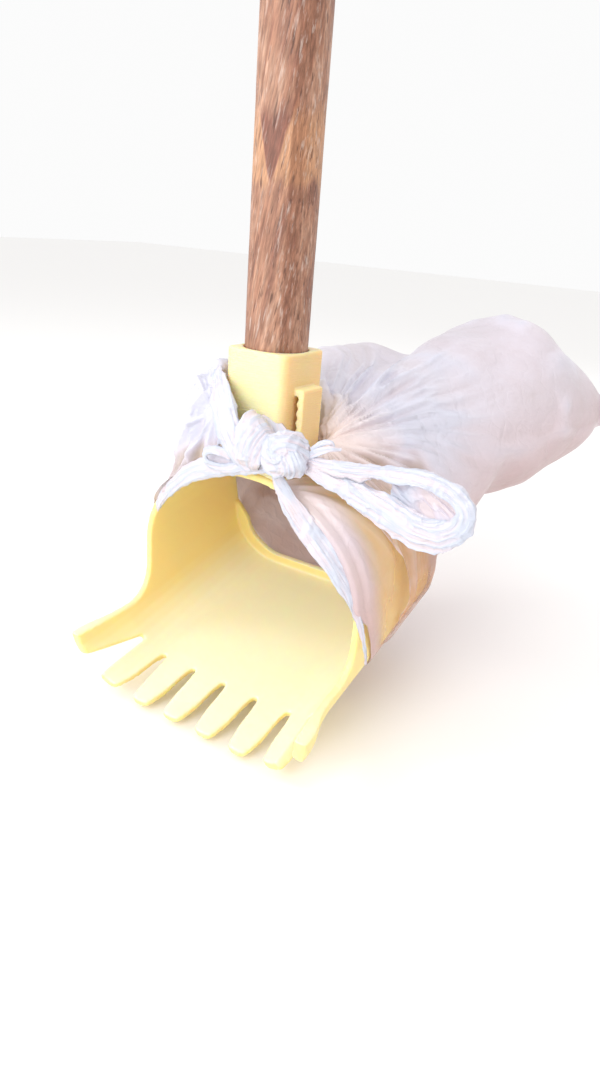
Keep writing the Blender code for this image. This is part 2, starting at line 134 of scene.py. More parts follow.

# Wood: slant of its fibres and its tones; a clearer band over the socket, in metres, with a dark
# heart that widens upwards; a darker grey strip on the right, partly dark wood and partly painted
# shade; and the colours of its pores and flecks
WOOD_SLANT = -0.2
WOOD_TONES = ((0.36, (0.25, 0.115, 0.08)), (0.5, (0.37, 0.19, 0.125)),
              (0.64, (0.50, 0.30, 0.215)))
WOOD_BAND_FOOT = -0.506
WOOD_BAND_MIDDLE = 0.0015
WOOD_BAND_HEIGHT = ((0.0, 0.0), (0.04, 1.0), (0.22, 1.0), (0.28, 0.0))
WOOD_BAND_SHARE = 0.85
WOOD_BAND_WANDER = 0.012
WOOD_BAND_RAGGED = 0.015
WOOD_ARCH_SLOPE = 0.26
WOOD_ARCH_RATE = 1900
WOOD_HEART_RATE = 420.0
WOOD_HEART_WAVE = 0.16
WOOD_HEART_SHIFT = 0.4
WOOD_HEART = ((0.2, (0.52, 0.28, 0.16)), (0.45, (0.38, 0.18, 0.11)),
              (0.7, (0.19, 0.075, 0.055)))
WOOD_SHADE_STRIP = ((0.36, 0.0), (0.41, 0.85), (0.55, 0.7), (0.58, 0.1))
WOOD_SHADE_STRIP_COLOUR = (0.60, 0.50, 0.47)
WOOD_PORE_COLOUR = (0.09, 0.04, 0.03)
WOOD_FLECK_COLOUR = (0.66, 0.55, 0.50)

# Scoop: the frame its shape is given in and its outside across the tool, in millimetres
SCOOP_ORIGIN = (0, -25.1, -143.5)
HOOD_WALL = 3.2
HOOD_HALF_WIDTH = 57
HOOD_LENGTH = 88
HOOD_CORNER = 26
HOOD_BASE = 45
HOOD_TOP = 90

# Film: the random numbers' period, how sharp a ridge's crest is, how much longer than wide a
# fold is, and the names of the mesh layers that say how gathered the film is and where it rests
NOISE_CELLS = 32
RIDGE_SHARPNESS = 2.2
FOLD_STRETCH = 0.09
DENSITY = "gathered"
REST_PLACE = "rest_place"

# Film material: wrinkles as cells to a metre, strength and depth in metres, and what bends them
FILM_WRINKLES = ((38, 0.16, 0.0025), (95, 0.12, 0.0012), (260, 0.08, 0.0006))
FILM_CREASE = ((0.0, 1.0), (0.12, 0.25), (0.5, 0.0))
FILM_BEND_SCALE = 60
FILM_BEND = 0.02
FILM_MIST = 0.3
FILM_OPAQUE_FROM = 0.72
# Colours of the film as it gathers, below a dense film's own white; the orange of the clearest
# film is painted shade, the amber hood in shade seen through it
FILM_TINTS_AND_SHADE = ((0.0, (0.82, 0.50, 0.25)), (0.32, (0.70, 0.59, 0.56)), (0.6, (0.70, 0.64, 0.71)))
BAG_WHITE = (0.65, 0.66, 0.78)
KNOT_WHITE = (0.55, 0.59, 0.70)
# Painted warm shade: low on the bag, from higher up at its rear; then a painted glow round the
# gather at the main knot
FILM_LOW_SHADE_TOP = (0, 0, -45)
FILM_LOW_SHADE_LEAN = 0.2
FILM_LOW_SHADE_TINT = (0.93, 0.74, 0.67)
FILM_PAINTED_GLOW_MIDDLE = (24, 2, -36)
FILM_PAINTED_GLOW_REACH = ((0.2, 1.0), (0.8, 0.0))
FILM_PAINTED_GLOW_SHARE = 0.75
FILM_PAINTED_GLOW_COLOUR = (0.98, 0.81, 0.75)

# Collar: columns, rows, half the opening at the socket in degrees, and where it ends
COLLAR_COLUMNS = 420
COLLAR_ROWS = 130
COLLAR_OPENING = 19.5
COLLAR_CLEARANCE = 0.7
COLLAR_REAR = 87
HEM_SETBACK = -13.6
HEM_RIGHT = ((-13, 34), (5, 22), (18, 14), (26, 10), (34, 5.5), (42, 2), (50, 0), (60, 0))
HEM_LEFT = ((-13, 34), (5, 24), (30, 15), (50, 10), (60, 6), (68, 2), (74, 0), (80, 0))
HEM_CURL = ((4.6, 1.5), (3.8, 2.8), (1.8, 3.6), (0.3, 2.6))
# Its folds fan out from a spot beyond each end: how far beyond, the spot's y, and random
# numbers; then the folds' widths and depths, and where they grow and fade
COLLAR_FANS = ((6, -22, 11), (2, -20, 14))
COLLAR_FOLDS = ((13, 2.0), (5, 0.8))
COLLAR_FOLDS_GROW = (0, 30)
COLLAR_FOLDS_FADE = (70, 130)
COLLAR_FOLDS_REAR = (4, 18)

# Bag body: points round the bag by angle, degrees anticlockwise from the right seen from behind,
# first where it starts and then over the shoulders
BODY_COLUMNS = 560
BODY_SAIL_ROWS = 130
BODY_BELLY_ROWS = 230
BODY_CLEARANCE = 1.8
BODY_FRONT = (
    (-90, 0, 26, -127.5), (-60, 36, 24.5, -125), (-42, 54, 22.5, -114), (-25, 61.8, 21, -101),
    (-8, 60.5, 16, -84), (6, 51, 8, -66), (18, 38, -2, -52), (28, 28, -8, -44), (38, 24, -4, -38),
    (48, 23, 1.5, -37), (60, 21.5, 6.5, -37), (72, 17, 12.5, -37), (80, 10, 16.2, -38),
    (90, 0, 17, -38), (100, -10, 16.2, -38), (108, -17, 12.5, -36), (116, -21, 4, -30),
    (124, -20.5, -7, -22), (132, -16.5, -15, -19.5), (142, -12, -19, -22),
    (152, -9, -20, -28), (161, -9.5, -19.4, -36), (168, -17, -17.8, -44), (174, -33, -16.3, -57),
    (180, -47.5, -14, -71.5), (192, -55.5, -3, -82), (203, -60.5, 9, -96), (216, -57, 17, -110),
    (232, -40, 22, -122.5), (250, -18, 25, -126.5),
)
BODY_SHOULDER = (
    (-90, 0, 50, -127.5), (-60, 36, 50, -123), (-42, 52, 48, -114), (-25, 61, 44, -101),
    (-8, 61.5, 38, -84), (6, 59, 30, -70), (18, 52, 22, -57), (28, 45, 18, -49), (38, 38, 18, -41),
    (48, 32, 20, -33.5), (60, 25, 20, -26), (72, 15, 22, -20), (80, 9, 23, -18),
    (90, 0, 23.5, -17.5), (100, -9, 23, -18), (108, -17, 20, -18), (116, -25, 12, -15),
    (124, -28, 2, -12), (132, -31, -6, -18), (142, -34.5, -10, -27), (152, -37, -10, -37),
    (161, -39, -9, -48), (168, -43, -8, -58), (174, -49, -5, -68), (180, -55, -2, -79),
    (192, -59.5, 4, -91), (203, -61.5, 13, -102), (216, -57, 26, -112), (232, -40, 40, -123.5),
    (250, -18, 48, -127),
)
# Gathers: middle, the way the film faces, width of a pleat in degrees, where the pleats are full
# and where they end, their depth and their random numbers; then finer pleats as shares of the
# first ones' width and height
BODY_GATHERS = (
    ((22, 3, -33), (0.55, 0.15, 0.82), 9, 26, 130, 3.4, 21),
    ((-14, -19, -24), (-0.75, -0.45, 0.5), 10, 20, 80, 2.2, 31),
)
BODY_PLEATS = ((1, 1), (0.45, 0.45), (0.2, 0.2))
BODY_PLEAT_STRETCH = 0.10
# How far off the hood the film stops being tight on it, and how gathered loose film is
BODY_TIGHT = (7, 16)
BODY_LOOSE = 0.62
# Sway of the belly: size, depth and random numbers; and the depth and share of its creases
BODY_SWAY = ((34, 2.6, 41), (15, 0.8, 42))
BODY_CREASE_DEPTH = 1.6
BODY_CREASE_GATHERED = 0.25
# Rings of the belly: middle x, y, z, half width, half height, and degrees of lean and turn
BELLY_RINGS = (
    (1, 55, -72, 59, 59, 24, 0), (3, 71, -64, 59, 60, 12, 4), (12, 95, -55, 56, 51, 2, 12),
    (27, 120, -41, 50, 43, -4, 22), (43, 145, -37, 46, 47, -6, 32), (59, 165, -38, 40, 35, -6, 38),
    (75, 181, -40, 27, 25, -6, 42), (87, 190, -38, 14, 11.5, -6, 44), (96, 196, -37, 10, 9, -6, 44),
    (102, 200, -37, 5, 5, -6, 44), (103.5, 201, -37, 0.5, 0.5, -6, 44),
)
# Valley between the bag's two lobes: its line seen from above, width, depth along the line and
# the heights between which it fades; and the rear lobe's x, y, size and swelling
VALLEY_LINE = ((21, 20), (14, 62), (8, 97), (-3, 135), (-12, 165), (-16, 190))
VALLEY_STEPS = 120
VALLEY_WIDTH = 11
VALLEY_DEPTH = (0, 6, 9, 9, 8, 4)
VALLEY_HEIGHT = (-55, -35)
REAR_LOBE = (-32, 108, 26, 5)

# Main knot: a strand wound as a trefoil, its middle, size and cross-section in millimetres
KNOT_STEPS = 48
KNOT_MIDDLE = (22.6, -23.2, -34.2)
KNOT_RING = 4.6
KNOT_WAVE = 2.3
KNOT_DEPTH = 3.0
KNOT_TALL = 0.86
KNOT_START = 0.9
KNOT_STRAND_WIDTH = 10.5
KNOT_STRAND_THICKNESS = 5.6

# Strands of gathered film: name, the CAD solids each stands for, its random numbers, the width
# and depth of its pleats, and its path as rows of x, y, z, width, thickness and facing
KNOT_STRANDS = (
    ("left_sheaf_film", (), 100, 1.5, 0.5, (
        (-24, -7, -11.5, 4, 0.8, -0.6, -0.8, 0.5), (-19.5, -12.5, -13, 8, 1.0, -0.5, -0.9, 0.4),
        (-14.5, -17, -16.5, 11.5, 1.8, -0.4, -1, 0.3),
        (-9.8, -20.2, -21.5, 13.5, 3.4, -0.3, -1, 0.2),
        (-5.6, -22.4, -27.5, 13.5, 5, -0.2, -1, 0.1), (-2, -23, -33.5, 11.5, 5.4, 0, -1, 0),
        (1.5, -22.6, -39, 8.5, 5, 0.1, -1, 0), (6, -20, -43.5, 6.5, 4, 0.1, -1, 0))),
    ("half_knot_film", ("bag_half_knot",), 110, 1.2, 0.55, (
        (9, -15.5, -31, 13, 2.2, 0.1, -1, 0.2), (10.2, -18, -27.4, 15, 2.8, 0.3, -0.6, 0.8),
        (9.9, -22, -26.4, 16, 3.4, 0.4, -1, 0.7), (8.4, -24.6, -29.8, 16, 4.2, 0.2, -1, 0.3),
        (6.8, -25.4, -34.6, 15, 4.4, 0, -1, 0), (5.4, -24.2, -39.4, 13.5, 4.2, -0.2, -1, -0.3),
        (4.6, -20.5, -43, 11.5, 3.2, -0.2, -0.7, -1))),
    ("left_band_film", ("bag_left_handle",), 120, 1.3, 0.4, (
        (-53, -11.5, -82, 2.0, 1.0, -0.4, -1, 0.2), (-47, -15, -72.5, 4.5, 1.6, -0.3, -1, 0.3),
        (-36, -17.5, -61, 7, 2.4, -0.2, -1, 0.3), (-24, -18.8, -52.2, 8.5, 3.2, -0.1, -1, 0.2),
        (-11, -20, -46.5, 9, 4, 0, -1, 0.1), (2, -20.5, -43, 8, 4, 0, -1, 0),
        (13, -20.5, -40.5, 6.5, 3.4, 0, -1, 0))),
    ("right_band_film", ("bag_right_handle",), 130, 1.6, 0.4, (
        (17, -20.8, -42, 4.5, 2.6, 0, -1, 0), (21.5, -20, -50, 6.5, 1.8, 0.2, -1, 0.2),
        (28, -19, -58.5, 8.5, 1.2, 0.3, -1, 0.3), (36.5, -18.2, -66.5, 9, 1.0, 0.5, -1, 0.4),
        (45.5, -17.2, -75.5, 8, 0.9, 0.8, -1, 0.4), (53, -16, -85.5, 6, 0.8, 1.2, -1, 0.2),
        (57.5, -15, -97, 2.6, 0.8, 2, -1, 0), (60.3, -13.6, -108, 1.4, 0.6, 2, -1, 0),
        (60.6, -11.6, -116, 0.5, 0.3, 2, -1, 0))),
    ("short_loop_film", ("bag_short_loop",), 140, 1.1, 0.3, (
        (-3, -22.5, -40, 3.6, 1.6, 0, -1, 0), (-7.5, -24.8, -38.8, 3.8, 1.5, 0, -1, 0.3),
        (-12.3, -25.2, -39.3, 3.4, 1.4, -0.3, -1, 0), (-14.6, -24.6, -42.2, 3.0, 1.3, -0.5, -1, 0),
        (-12.8, -23.6, -45.6, 3.4, 1.4, 0, -1, -0.3), (-7, -22.6, -46.2, 3.8, 1.6, 0, -1, 0),
        (-1, -22.2, -44.6, 4, 1.8, 0, -1, 0), (5, -21.5, -42.4, 4, 1.8, 0, -1, 0))),
    ("loose_wisp_film", (), 150, 0.9, 0.25, (
        (30, -21, -33.5, 2.6, 1.0, 0, -1, 0.5), (35, -21.5, -30.4, 3.0, 0.8, 0, -1, 0.5),
        (39.5, -20.6, -28.4, 2.4, 0.7, 0, -1, 0.4), (43.5, -18.8, -28.2, 1.5, 0.6, 0, -1, 0.4))),
    ("loose_curl_film", (), 160, 0.9, 0.25, (
        (32, -20.5, -30.5, 2.0, 0.8, 0.5, -1, 0.5), (35.5, -19.5, -27.4, 2.2, 0.7, 0.3, -1, 0.6),
        (38.8, -18.6, -26.8, 1.8, 0.6, 0, -1, 0.6), (40.2, -18.2, -28.6, 1.2, 0.6, 0, -1, 0.5))),
)

# A strand's folds as shares of its pleats' width and height, how far apart its two faces are in
# the random numbers, and its crumpling
STRAND_FOLDS = ((1, 1), (0.45, 0.5))
FACES_APART = 40
STRAND_CRUMPLE = ((6, 1), (2.7, 0.5))
STRAND_SWAY = (4.5, 0.7)

# Bow: the loop's path in the same terms, and the two edges of the film crumpled in its tip
BOW_LOOP = (
    (30.5, -21, -34.6, 4.5, 3.2, 0, -1, 0.2), (38, -21.4, -35, 4.8, 2.6, 0, -1, 0.3),
    (47, -21.6, -34.2, 5.8, 2.2, 0, -1, 0.4), (56, -21.6, -32.9, 5.6, 2.0, 0, -1, 0.4),
    (65, -21.6, -31.4, 4.8, 2.0, 0, -1, 0.4), (74, -21.6, -30.6, 5.5, 2.2, 0, -1, 0.4),
    (82, -21.4, -31.0, 6.5, 2.4, 0.1, -1, 0.3), (89, -21.2, -33.4, 7.0, 2.6, 0.2, -1, 0.1),
    (93.4, -21.2, -38, 6.5, 2.8, 0.3, -1, 0), (92.4, -21.4, -44, 8, 2.8, 0.2, -1, 0),
    (87, -21.8, -48.2, 12, 2.8, 0.1, -1, -0.1), (79, -22, -49.2, 15.5, 2.8, 0, -1, -0.2),
    (70, -21.8, -47, 15, 2.8, 0, -1, -0.2), (60, -21.6, -44.4, 12, 2.8, 0, -1, -0.1),
    (50, -21.4, -41.6, 8.5, 2.8, 0, -1, 0), (40, -21.2, -39.4, 6.4, 3.0, 0, -1, 0),
    (31.5, -21, -37.4, 5.0, 3.4, 0, -1, 0),
)
BOW_POCKET_TOP = ((64, -21, -32.5), (72, -21, -32), (81, -21, -33), (90, -21, -37))
BOW_POCKET_BOTTOM = ((66, -21, -40), (73, -21, -42), (82, -21, -43.5), (91, -21, -42))
BOW_POCKET_FOLDS = ((4.0, 1), (1.8, 0.5))
BOW_POCKET_DEPTH = 1.6
BOW_POCKET_SETBACK = 1.5

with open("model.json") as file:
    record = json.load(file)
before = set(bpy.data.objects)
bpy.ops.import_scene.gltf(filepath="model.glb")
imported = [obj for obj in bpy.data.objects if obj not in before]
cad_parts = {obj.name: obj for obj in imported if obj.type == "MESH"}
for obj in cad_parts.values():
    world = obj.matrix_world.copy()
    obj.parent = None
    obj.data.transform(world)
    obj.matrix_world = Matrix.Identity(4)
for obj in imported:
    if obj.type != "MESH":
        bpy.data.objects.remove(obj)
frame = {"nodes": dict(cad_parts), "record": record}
cad_low, cad_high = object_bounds()
nodes = frame["nodes"]

SOCKET_TOP = Vector((0, 0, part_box("pole_socket")[1].z))
sole = next(m for m in frame["record"]["mounts"] if m["name"] == "tine_sole")
SCOOP_TILT = math.atan2(sole["axis"][1], -sole["axis"][2])


def at(x, y, z):
    """A point given in millimetres from the socket's top, in the row frame."""
    return SOCKET_TOP + Vector((x, y, z)) * MM


def ease(low, high, value):
    """0 up to a low value, 1 from a high one, and a smooth change between them."""
    t = np.clip((value - low) / (high - low), 0, 1)
    return t * t * (3 - 2 * t)


def stack(*parts):
    return np.stack(np.broadcast_arrays(*parts), -1)


def unit(vectors):
    return vectors / np.maximum(np.linalg.norm(vectors, axis=-1, keepdims=True), 1e-9)


# ---------------------------------------------------------------- materials


class Nodes:
    """A short way to build one material's node tree."""

    def __init__(self, name):
        self.material = bpy.data.materials.new(name)
        self.material.use_nodes = True
        self.tree = self.material.node_tree
        self.shader = self.tree.nodes["Principled BSDF"]
        self.place = self.add("ShaderNodeTexCoord").outputs["Object"]

    def feed(self, sockets, values):
        """Link each input to an output, or set it to a value."""
        for socket, value in zip(sockets, values):
            if hasattr(value, "is_linked"):
                self.tree.links.new(value, socket)
            else:
                socket.default_value = value

    def add(self, kind, inputs=None, **values):
        """A node with its inputs, by name, and its other settings."""
        node = self.tree.nodes.new(kind)
        for key, value in values.items():
            setattr(node, key, value)
        inputs = inputs or {}
        self.feed([node.inputs[key] for key in inputs], inputs.values())
        return node

    def scaled(self, scale=(1, 1, 1), turn=(0, 0, 0), shift=(0, 0, 0), source=None):
        mapping = self.add("ShaderNodeMapping", {"Scale": scale, "Rotation": turn,
                                                 "Location": shift, "Vector": source or self.place})
        return mapping.outputs["Vector"]

    def noise(self, vector, scale, detail=3.0, roughness=0.5):
        texture = self.add("ShaderNodeTexNoise", {"Vector": vector, "Scale": scale,
                                                  "Detail": detail, "Roughness": roughness})
        return texture.outputs["Fac"]

    def ramp(self, source, stops):
        """Colours or greys by value: stops are (position, colour)."""
        node = self.add("ShaderNodeValToRGB", {"Fac": source})
        elements = node.color_ramp.elements
        while len(elements) < len(stops):
            elements.new(0.5)
        for element, (position, colour) in zip(elements, stops):
            element.position = position
            element.color = (*colour, 1) if hasattr(colour, "__len__") else (colour,) * 3 + (1,)
        return node.outputs["Color"]

    def mix(self, factor, first, second, kind='MIX'):
        node = self.add("ShaderNodeMix", data_type='RGBA', blend_type=kind)
        colours = [socket for socket in node.inputs if socket.type == 'RGBA']
        values = [(*value, 1) if isinstance(value, tuple) else value for value in (first, second)]
        self.feed((node.inputs[0], *colours), (factor, *values))
        return next(socket for socket in node.outputs if socket.type == 'RGBA')

    def maths(self, kind, first, second=0.0, clamp=False):
        node = self.add("ShaderNodeMath", operation=kind, use_clamp=clamp)
        self.feed(node.inputs, (first, second))
        return node.outputs["Value"]

    def times(self, first, second):
        return self.maths('MULTIPLY', first, second)

    def plus(self, first, second, clamp=False):
        return self.maths('ADD', first, second, clamp)

    def minus(self, first, second):
        return self.maths('SUBTRACT', first, second)

    def vector_maths(self, kind, first, second, result="Vector"):
        node = self.add("ShaderNodeVectorMath", operation=kind)
        self.feed(node.inputs, (first, second))
        return node.outputs[result]

    def parts(self, vector):
        """A vector's X, Y and Z."""
        return self.add("ShaderNodeSeparateXYZ", {"Vector": vector}).outputs

    def facing(self):
        """The way the surface faces, without any bumps."""
        return self.add("ShaderNodeNewGeometry").outputs["Normal"]

    def bump(self, height, strength, distance, below=None):
        node = self.add("ShaderNodeBump", {"Strength": strength, "Distance": distance,
                                           "Height": height})
        if below is not None:
            self.feed([node.inputs["Normal"]], [below])
        return node.outputs["Normal"]

    def set(self, **values):
        """Inputs of the surface's own shader, their names with _ for a space."""
        names = [name.replace("_", " ") for name in values]
        self.feed([self.shader.inputs[name] for name in names], values.values())


def wood_material():
    """Weathered brown wood: slanting short fibres, dark pores, one clearer band, and a darker strip
    on its right that is partly dark wood and partly painted shade.
    """
    m = Nodes("wood_pole")
    tilted = m.scaled(turn=(0, WOOD_SLANT, 0))
    fibres = m.noise(m.scaled((1, 1, 0.10), source=tilted), 1250, 3, 0.6)
    streaks = m.noise(m.scaled((1, 1, 0.12), source=tilted), 330, 4, 0.6)
    mottle = m.noise(m.scaled((1, 1, 0.5), source=tilted), 70, 4, 0.6)
    tone = m.plus(m.times(streaks, 0.55), m.times(mottle, 0.45))
    weathered = m.ramp(tone, WOOD_TONES)

    place = m.parts(m.place)
    wander = m.times(m.minus(mottle, 0.5), WOOD_BAND_WANDER)
    above = m.minus(m.plus(place["Z"], wander), WOOD_BAND_FOOT)
    beside = m.maths('ABSOLUTE', m.minus(place["X"], WOOD_BAND_MIDDLE))
    arch = m.minus(m.times(above, WOOD_ARCH_SLOPE), beside)
    wave = m.maths('SINE', m.times(arch, WOOD_ARCH_RATE))
    heart = m.plus(m.times(arch, WOOD_HEART_RATE), m.times(wave, WOOD_HEART_WAVE))
    clear = m.ramp(m.plus(heart, WOOD_HEART_SHIFT), WOOD_HEART)
    ragged = m.times(m.minus(streaks, 0.5), WOOD_BAND_RAGGED)
    within = m.ramp(m.times(m.plus(above, ragged), 10.0), WOOD_BAND_HEIGHT)
    toned = m.mix(m.times(within, WOOD_BAND_SHARE), weathered, clear)

    # Painted shade, partly dark wood: a darker strip down the pole's right side
    edge = m.plus(place["X"], m.times(wander, 0.12))
    shade_strip = m.ramp(m.times(edge, 50.0), WOOD_SHADE_STRIP)
    toned = m.mix(shade_strip, toned, WOOD_SHADE_STRIP_COLOUR, 'MULTIPLY')
    grained = m.mix(0.8, toned, m.ramp(fibres, ((0.3, 0.3), (0.5, 0.5), (0.7, 0.74))), 'OVERLAY')
    pores = m.noise(m.scaled((1, 1, 0.09), shift=(0.1, 0.2, 0.3), source=tilted), 1000, 2, 0.5)
    pore_mask = m.ramp(pores, ((0.61, 0.0), (0.68, 1.0)))
    pored = m.mix(m.times(pore_mask, 0.7), grained, WOOD_PORE_COLOUR)
    flecks = m.noise(m.scaled((1, 1, 0.10), shift=(0.3, 0.1, 0.2), source=tilted), 800, 3, 0.7)
    fleck_mask = m.ramp(flecks, ((0.55, 0.0), (0.72, 1.0)))
    m.set(Base_Color=m.mix(m.times(fleck_mask, 0.6), pored, WOOD_FLECK_COLOUR),
          Roughness=m.ramp(fibres, ((0.3, 0.45), (0.7, 0.62))))
    m.set(Normal=m.bump(pore_mask, -0.3, 0.0004, m.bump(fibres, 0.4, 0.0005)),
          Specular_IOR_Level=0.4)
    return m.material


def painted_hood_shade(m):
    """Painted shade and bounced light on the scoop as amber: growing up its walls and to the rear,
    and high on its edges.
    """
    place = m.parts(m.scaled(turn=(-SCOOP_TILT, 0, 0)))
    origin = Matrix.Rotation(-SCOOP_TILT, 3, 'X') @ at(*SCOOP_ORIGIN)
    above = m.times(m.minus(place["Z"], origin.z), 20.0)
    behind = m.times(m.minus(place["Y"], origin.y), 10.0)
    # Painted shade and bounced light: amber up the walls, more of it deep in the hood
    up_wall = m.ramp(above, SHADE_AMBER_UP_WALL)
    deep = m.ramp(m.plus(behind, SHADE_AMBER_DEEP_AHEAD), SHADE_AMBER_DEEP)
    # Painted shade: faces that are not level, such as the tines' sides, turn amber
    lying = m.vector_maths('DOT_PRODUCT', m.facing(),
                           (0, -math.sin(SCOOP_TILT), math.cos(SCOOP_TILT)), "Value")
    return m.maths('MAXIMUM', m.times(up_wall, deep), m.ramp(lying, SHADE_AMBER_ON_EDGE))


def painted_side_shade(m):
    """Painted shade on the socket as amber: most on the faces and the tab that look sideways."""
    return m.times(m.maths('ABSOLUTE', m.parts(m.facing())["X"]), SHADE_AMBER_SOCKET_SIDE)


def printed_material(name, pale, shade_amber, share, layer_pitch, layer_strength, turn):
    """Yellow printed plastic: fine layer lines, slight colour drift, light glowing inside, and
    amber painted shade where its share says.

    A wave texture of scale 1 repeats every 2 pi / 20, so a light and a dark line take up two
    layer pitches.
    """
    m = Nodes(name)
    drift = m.noise(m.scaled(), 28, 3, 0.55)
    shifted = m.ramp(drift, ((0.3, tuple(0.97 * c for c in pale)), (0.7, pale)))
    # Painted shade: the amber mixed in by the share
    colour = m.mix(share(m), shifted, shade_amber)
    layers = m.add("ShaderNodeTexWave", {
        "Scale": 1 / (layer_pitch * MM) / 20 * math.pi, "Distortion": 0.25, "Detail Scale": 3,
        "Vector": m.scaled(turn=turn)}, wave_type='BANDS', bands_direction='Z', wave_profile='SIN')
    grit = m.noise(m.scaled(), 1300, 2, 0.5)
    m.set(Base_Color=m.mix(m.times(layers.outputs["Fac"], LAYER_SHARE), colour, LAYER_COLOUR),
          Roughness=m.ramp(drift, ((0.3, 0.42), (0.7, 0.5))))
    m.set(Normal=m.bump(grit, 0.05, 0.0002,
                        m.bump(layers.outputs["Fac"], layer_strength, 0.0001)))
    m.set(Subsurface_Weight=0.45, Subsurface_Radius=(1.0, 0.5, 0.12), Subsurface_Scale=0.006,
          Specular_IOR_Level=0.4)
    return m.material


def film_material(name, white, least, painted_warmth):
    """Thin cloudy film: clear where it lies flat, whiter and denser where it is gathered, with
    painted shade low on the bag and over the hood, and a painted glow round the main knot.

    Its patterns follow the place each point has at rest, so they stay put when the film moves.
    """
    m = Nodes(name)
    gathered = m.add("ShaderNodeAttribute", attribute_name=DENSITY).outputs["Fac"]
    m.place = m.add("ShaderNodeAttribute", attribute_name=REST_PLACE).outputs["Vector"]
    cloud = m.noise(m.scaled(), 45, 3, 0.6)
    mist = m.times(m.minus(cloud, 0.5), FILM_MIST)
    dense = m.plus(gathered, mist, clamp=True)
    alpha = m.add("ShaderNodeMapRange", {"Value": dense, "From Max": FILM_OPAQUE_FROM,
                                         "To Min": least})

    # Painted shade: the clearest film's orange stands for the shaded amber hood under it
    tint = m.ramp(dense, (*FILM_TINTS_AND_SHADE, (1.0, white)))
    place = m.parts(m.place)
    # Painted shade: warmer, darker film low on the bag, from higher up at its rear
    drop = m.minus(at(*FILM_LOW_SHADE_TOP).z, place["Z"])
    drop = m.plus(drop, m.times(place["Y"], FILM_LOW_SHADE_LEAN))
    low = m.plus(m.times(drop, 20.0), mist, clamp=True)
    tint = m.mix(m.times(low, painted_warmth), tint, FILM_LOW_SHADE_TINT, 'MULTIPLY')
    # Painted light: a warm glow round the gather at the main knot, lighter than its shaded pleats
    away = m.vector_maths('DISTANCE', m.place, at(*FILM_PAINTED_GLOW_MIDDLE), "Value")
    painted_glow = m.ramp(m.times(away, 20.0), FILM_PAINTED_GLOW_REACH)
    tint = m.mix(m.times(painted_glow, FILM_PAINTED_GLOW_SHARE * painted_warmth), tint, FILM_PAINTED_GLOW_COLOUR)

    bend = m.add("ShaderNodeTexNoise", {"Vector": m.place, "Scale": FILM_BEND_SCALE})
    shift = m.vector_maths('MULTIPLY', bend.outputs["Color"], (FILM_BEND,) * 3)
    bent = m.vector_maths('ADD', m.place, shift)
    normal = None
    for scale, strength, depth in FILM_WRINKLES:
        cells = m.add("ShaderNodeTexVoronoi", {"Vector": bent, "Scale": scale},
                      feature='DISTANCE_TO_EDGE')
        normal = m.bump(m.ramp(cells.outputs["Distance"], FILM_CREASE), strength, depth, normal)
    fine = m.noise(m.place, 700, 2, 0.5)
    m.set(Base_Color=tint, Alpha=alpha.outputs["Result"],
          Roughness=m.ramp(cloud, ((0.3, 0.28), (0.7, 0.42))))
    m.set(Normal=m.bump(fine, 0.08, 0.0003, normal), Specular_IOR_Level=0.5)
    return m.material


# ---------------------------------------------------------------- printed parts and pole


def new_object(name, data):
    thing = bpy.data.objects.new(name, data)
    bpy.context.scene.collection.objects.link(thing)
    return thing


def baked(thing):
    """The mesh as its modifiers leave it, on an object with none."""
    bpy.context.view_layer.update()
    depsgraph = bpy.context.evaluated_depsgraph_get()
    mesh = bpy.data.meshes.new_from_object(thing.evaluated_get(depsgraph))
    thing.modifiers.clear()
    thing.data = mesh
    return thing


def softened(name, node, voxel, rounds, turn, material, shape=None):
    """A printed part with softened edges: its CAD mesh remeshed in its own frame and smoothed."""
    mesh = nodes[node].data.copy()
    mesh.transform(turn.inverted())
    part = new_object(name, mesh)
    remesh = part.modifiers.new("even", 'REMESH')
    remesh.mode = 'VOXEL'
    remesh.voxel_size = voxel * MM
    baked(part)
    if shape:
        shape(part.data)
        part.data.update()
    soft = part.modifiers.new("soft", 'SMOOTH')
    soft.factor = 0.5
    soft.iterations = rounds
    baked(part)
    part.data.transform(turn)
    part.data.shade_smooth()
    part.data.materials.clear()
    part.data.materials.append(material)
    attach(part, "head")
    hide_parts(node)


def fuller_tines(mesh):
    """Thicken the tines, most the two side ones, widen the others, and lower the rear sill."""
    origin = Matrix.Rotation(-SCOOP_TILT, 3, 'X') @ at(*SCOOP_ORIGIN) / MM
    count = len(mesh.vertices)
    spots, normals = np.zeros(count * 3), np.zeros(count * 3)
    mesh.vertices.foreach_get("co", spots)
    mesh.vertices.foreach_get("normal", normals)
    spots, normals = spots.reshape(-1, 3) / MM, normals.reshape(-1, 3)
    across, forward, up = spots[:, 0], origin.y - spots[:, 1], spots[:, 2] - origin.z
    straight = HOOD_HALF_WIDTH - HOOD_CORNER
    out_x = np.sign(across) * np.maximum(np.abs(across) - straight, 0)
    out_z = np.minimum(up - (HOOD_CORNER - HOOD_WALL), 0)
    outward = unit(stack(out_x, 0, out_z))
    outside = ease(*SWELL_FACING, np.sum(outward * normals, -1))
    beside = ease(*SIDE_TINE_ACROSS, np.abs(across))
    sill = ease(*SILL_BEHIND, -forward) * (1 - ease(*SILL_ACROSS, np.abs(across)))
    sill = sill * (1 - ease(*SILL_ABOVE, up)) * SILL_SINK
    spots[:, 2] = spots[:, 2] - sill * np.maximum(up - HOOD_WALL, 0)
    swell = (TINE_SWELL + (SIDE_TINE_SWELL - TINE_SWELL) * beside) * ease(*SWELL_AHEAD, forward)
    spots = spots + outward * (swell * outside)[:, None]
    sideways = np.sign(normals[:, 0]) * ease(*WIDENING_FACING, np.abs(normals[:, 0]))
    widen = TINE_WIDENING * ease(*WIDENING_AHEAD, forward)
    widen = widen * (1 - ease(*WIDENING_ACROSS, np.abs(across)))
    spots[:, 0] = spots[:, 0] + sideways * widen
    mesh.vertices.foreach_set("co", (spots * MM).ravel())


